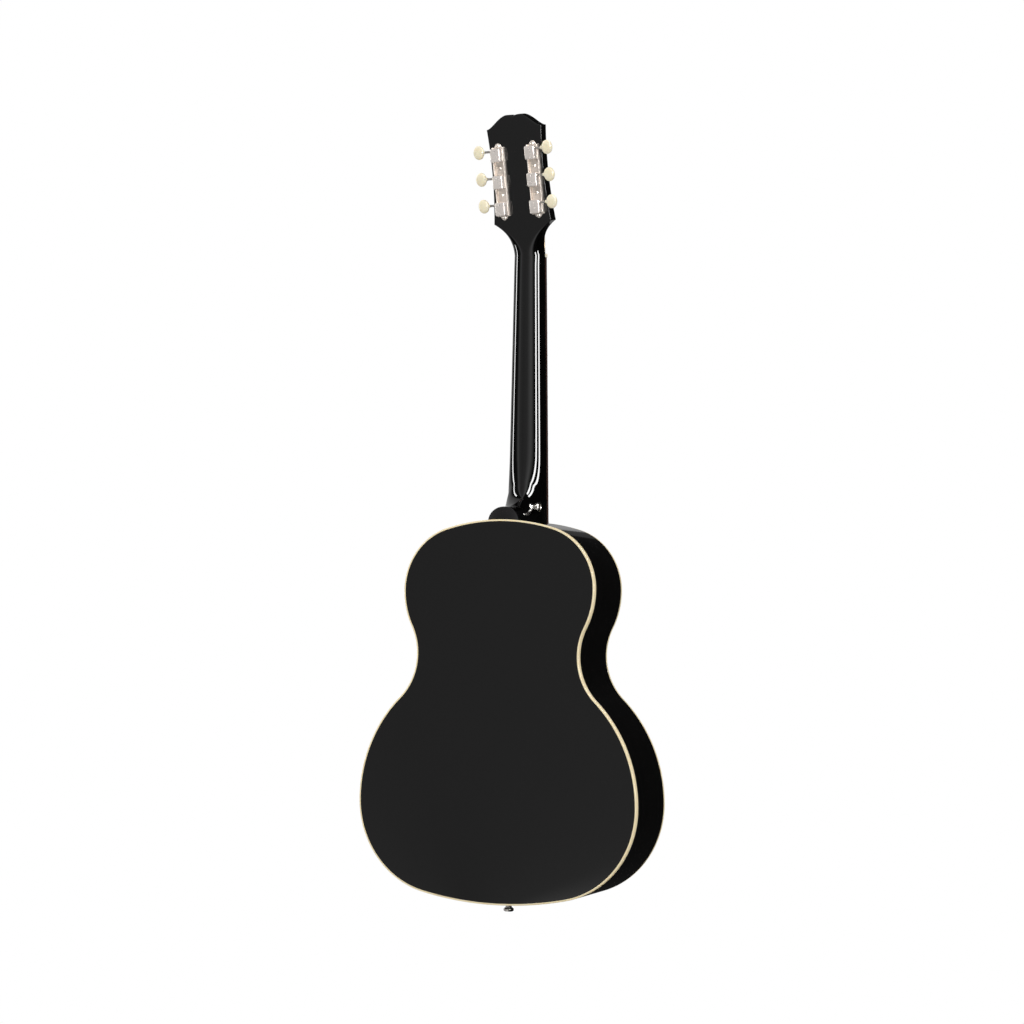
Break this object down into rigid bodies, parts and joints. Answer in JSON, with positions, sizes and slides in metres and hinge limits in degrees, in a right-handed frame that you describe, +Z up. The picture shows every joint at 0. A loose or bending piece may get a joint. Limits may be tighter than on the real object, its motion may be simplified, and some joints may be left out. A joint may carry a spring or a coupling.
{
  "type": "acoustic guitar",
  "caption": "Small-bodied flat-top steel-string acoustic guitar with bound body, glued neck, pin bridge and geared strip tuners that turn.",
  "frame": {"origin": "middle of the tail rim, where the tail strap button seats, half way between soundboard and back", "axes": "+Z up the neck towards the headstock; +Y out of the soundboard, so the back faces -Y; +X towards the bass strings"},
  "size_m": [0.387, 0.1127, 1.0301],
  "materials": {
    "top_lacquer": "gloss black lacquer on spruce",
    "body_lacquer": "gloss black lacquer on mahogany",
    "neck_lacquer": "gloss black lacquer on mahogany",
    "veneer_lacquer": "gloss black lacquer",
    "binding": "glossy aged cream celluloid",
    "block_wood": "raw mahogany",
    "lining_wood": "raw basswood",
    "brace_wood": "raw spruce",
    "plate_wood": "raw maple",
    "bridge_wood": "oiled rosewood",
    "board_wood": "oiled rosewood",
    "bone": "polished bone",
    "pin_plastic": "glossy cream plastic",
    "rosette": "lacquered inlaid rings",
    "pickguard": "glossy black plastic",
    "fret_wire": "polished nickel silver",
    "pearl": "pearl dot",
    "rod_steel": "bright steel",
    "cover_plastic": "glossy black plastic",
    "screw_nickel": "nickel plate",
    "button_nickel": "nickel plate",
    "plate_nickel": "nickel plate",
    "cover_nickel": "nickel plate",
    "bushing_nickel": "nickel plate",
    "plain_string": "bright steel wire",
    "wound_string": "phosphor bronze winding",
    "button_plastic": "glossy aged cream plastic",
    "shaft_nickel": "nickel plate",
    "post_nickel": "nickel plate"
  },
  "bodies": {
    "guitar": {"soundboard": "top_lacquer", "back_plate": "body_lacquer", "bass_side": "body_lacquer", "treble_side": "body_lacquer", "neck": "neck_lacquer", "heel_cap": "neck_lacquer", "headstock_veneer": "veneer_lacquer", "top_binding": "binding", "back_binding": "binding", "neck_block": "block_wood", "tail_block": "block_wood", "top_linings": "lining_wood", "back_linings": "lining_wood", "top_braces": "brace_wood", "back_braces": "brace_wood", "bridge_plate": "plate_wood", "bridge": "bridge_wood", "fingerboard": "board_wood", "saddle": "bone", "nut": "bone", "bridge_pins": "pin_plastic", "rosette": "rosette", "pickguard": "pickguard", "frets": "fret_wire", "fret_markers": "pearl", "truss_rod": "rod_steel", "truss_rod_cover": "cover_plastic", "cover_screws": "screw_nickel", "plate_screws": "screw_nickel", "strap_button_screws": "screw_nickel", "strap_buttons": "button_nickel", "tuner_plate_bass": "plate_nickel", "tuner_plate_treble": "plate_nickel", "tuner_covers": "cover_nickel", "post_bushings": "bushing_nickel", "string_1": "plain_string", "string_2": "plain_string", "string_3": "wound_string", "string_4": "wound_string", "string_5": "wound_string", "string_6": "wound_string"},
    "tuner_knob_1": {"tuner_button_1": "button_plastic", "tuner_worm_1": "shaft_nickel"},
    "tuner_gear_1": {"tuner_post_1": "post_nickel"},
    "tuner_knob_2": {"tuner_button_2": "button_plastic", "tuner_worm_2": "shaft_nickel"},
    "tuner_gear_2": {"tuner_post_2": "post_nickel"},
    "tuner_knob_3": {"tuner_button_3": "button_plastic", "tuner_worm_3": "shaft_nickel"},
    "tuner_gear_3": {"tuner_post_3": "post_nickel"},
    "tuner_knob_4": {"tuner_button_4": "button_plastic", "tuner_worm_4": "shaft_nickel"},
    "tuner_gear_4": {"tuner_post_4": "post_nickel"},
    "tuner_knob_5": {"tuner_button_5": "button_plastic", "tuner_worm_5": "shaft_nickel"},
    "tuner_gear_5": {"tuner_post_5": "post_nickel"},
    "tuner_knob_6": {"tuner_button_6": "button_plastic", "tuner_worm_6": "shaft_nickel"},
    "tuner_gear_6": {"tuner_post_6": "post_nickel"},
    "truss_nut": {"truss_rod_nut": "rod_steel"}
  },
  "joints": [
    {"name": "tuner_knob_1_turn", "type": "hinge", "parent": "guitar", "child": "tuner_knob_1", "pos_m": [-0.0246, 0.00899, 0.89907], "axis": [1, 0, 0], "continuous": true},
    {"name": "tuner_post_1_turn", "type": "hinge", "parent": "guitar", "child": "tuner_gear_1", "pos_m": [-0.0246, 0.03511, 0.8981], "axis": [0, -0.9699, -0.2436], "continuous": true, "deforming": ["string_1"]},
    {"name": "tuner_knob_2_turn", "type": "hinge", "parent": "guitar", "child": "tuner_knob_2", "pos_m": [-0.0246, 0.00051, 0.93282], "axis": [1, 0, 0], "continuous": true},
    {"name": "tuner_post_2_turn", "type": "hinge", "parent": "guitar", "child": "tuner_gear_2", "pos_m": [-0.0246, 0.02663, 0.93185], "axis": [0, -0.9699, -0.2436], "continuous": true, "deforming": ["string_2"]},
    {"name": "tuner_knob_3_turn", "type": "hinge", "parent": "guitar", "child": "tuner_knob_3", "pos_m": [-0.0246, -0.00797, 0.96657], "axis": [1, 0, 0], "continuous": true},
    {"name": "tuner_post_3_turn", "type": "hinge", "parent": "guitar", "child": "tuner_gear_3", "pos_m": [-0.0246, 0.01815, 0.96561], "axis": [0, -0.9699, -0.2436], "continuous": true, "deforming": ["string_3"]},
    {"name": "tuner_knob_4_turn", "type": "hinge", "parent": "guitar", "child": "tuner_knob_4", "pos_m": [0.0246, -0.00797, 0.96657], "axis": [1, 0, 0], "continuous": true},
    {"name": "tuner_post_4_turn", "type": "hinge", "parent": "guitar", "child": "tuner_gear_4", "pos_m": [0.0246, 0.01815, 0.96561], "axis": [0, -0.9699, -0.2436], "continuous": true, "deforming": ["string_4"]},
    {"name": "tuner_knob_5_turn", "type": "hinge", "parent": "guitar", "child": "tuner_knob_5", "pos_m": [0.0246, 0.00051, 0.93282], "axis": [1, 0, 0], "continuous": true},
    {"name": "tuner_post_5_turn", "type": "hinge", "parent": "guitar", "child": "tuner_gear_5", "pos_m": [0.0246, 0.02663, 0.93185], "axis": [0, -0.9699, -0.2436], "continuous": true, "deforming": ["string_5"]},
    {"name": "tuner_knob_6_turn", "type": "hinge", "parent": "guitar", "child": "tuner_knob_6", "pos_m": [0.0246, 0.00899, 0.89907], "axis": [1, 0, 0], "continuous": true},
    {"name": "tuner_post_6_turn", "type": "hinge", "parent": "guitar", "child": "tuner_gear_6", "pos_m": [0.0246, 0.03511, 0.8981], "axis": [0, -0.9699, -0.2436], "continuous": true, "deforming": ["string_6"]},
    {"name": "truss_rod_nut_turn", "type": "hinge", "parent": "guitar", "child": "truss_nut", "pos_m": [0, 0.0414, 0.84812], "axis": [0, 0, 1], "range_deg": [-180, 180]}
  ],
  "couplings": [
    {"joint": "tuner_post_1_turn", "follows": "tuner_knob_1_turn", "ratio": 0.066667},
    {"joint": "tuner_post_2_turn", "follows": "tuner_knob_2_turn", "ratio": 0.066667},
    {"joint": "tuner_post_3_turn", "follows": "tuner_knob_3_turn", "ratio": 0.066667},
    {"joint": "tuner_post_4_turn", "follows": "tuner_knob_4_turn", "ratio": 0.066667},
    {"joint": "tuner_post_5_turn", "follows": "tuner_knob_5_turn", "ratio": 0.066667},
    {"joint": "tuner_post_6_turn", "follows": "tuner_knob_6_turn", "ratio": 0.066667}
  ]
}
